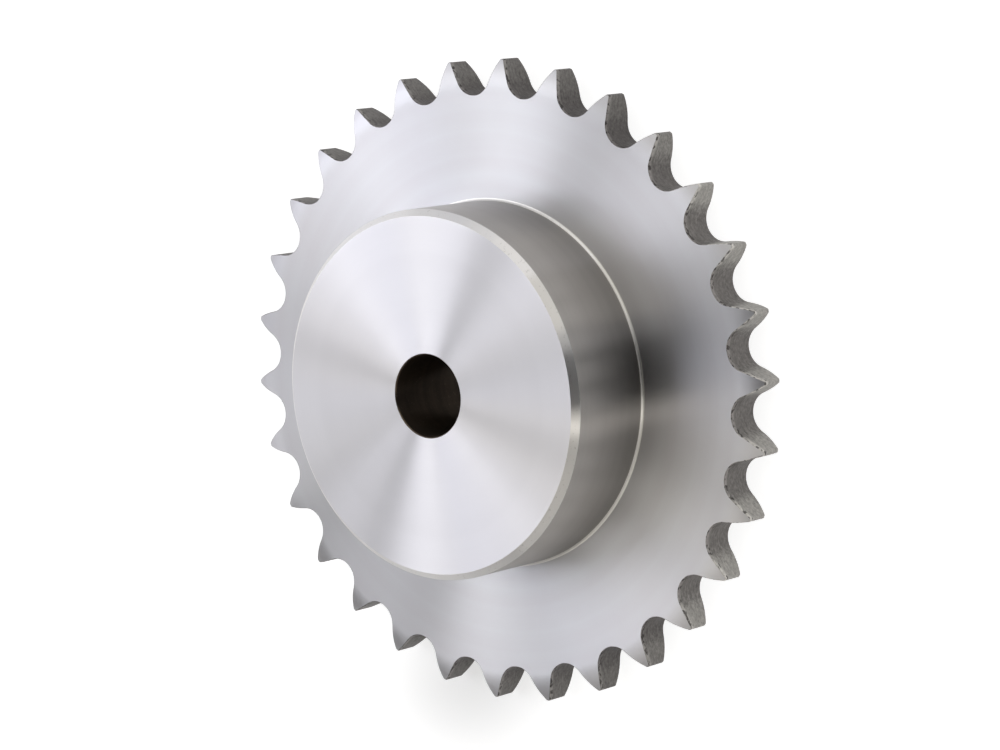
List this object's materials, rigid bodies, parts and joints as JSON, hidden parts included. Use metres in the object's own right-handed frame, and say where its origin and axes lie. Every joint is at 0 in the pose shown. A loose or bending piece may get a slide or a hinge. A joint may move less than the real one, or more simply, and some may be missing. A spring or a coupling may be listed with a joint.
{
  "type": "chain sprocket",
  "caption": "Roller-chain sprocket in one piece of steel: a flat toothed disc with relieved tooth sides, a wide cylindrical hub on one side and a plain central pilot bore.",
  "frame": {"origin": "centre of the bore at the disc's back face, the side without the hub", "axes": "+Z along the bore towards the hub; one tooth points along +X and the middle of one tooth gap is on +Y"},
  "size_m": [0.159, 0.1582, 0.035],
  "materials": {
    "steel": "turned faces with a fine circular lathe finish, darker milled tooth gaps"
  },
  "bodies": {
    "root": {"sprocket": "steel"}
  },
  "joints": []
}
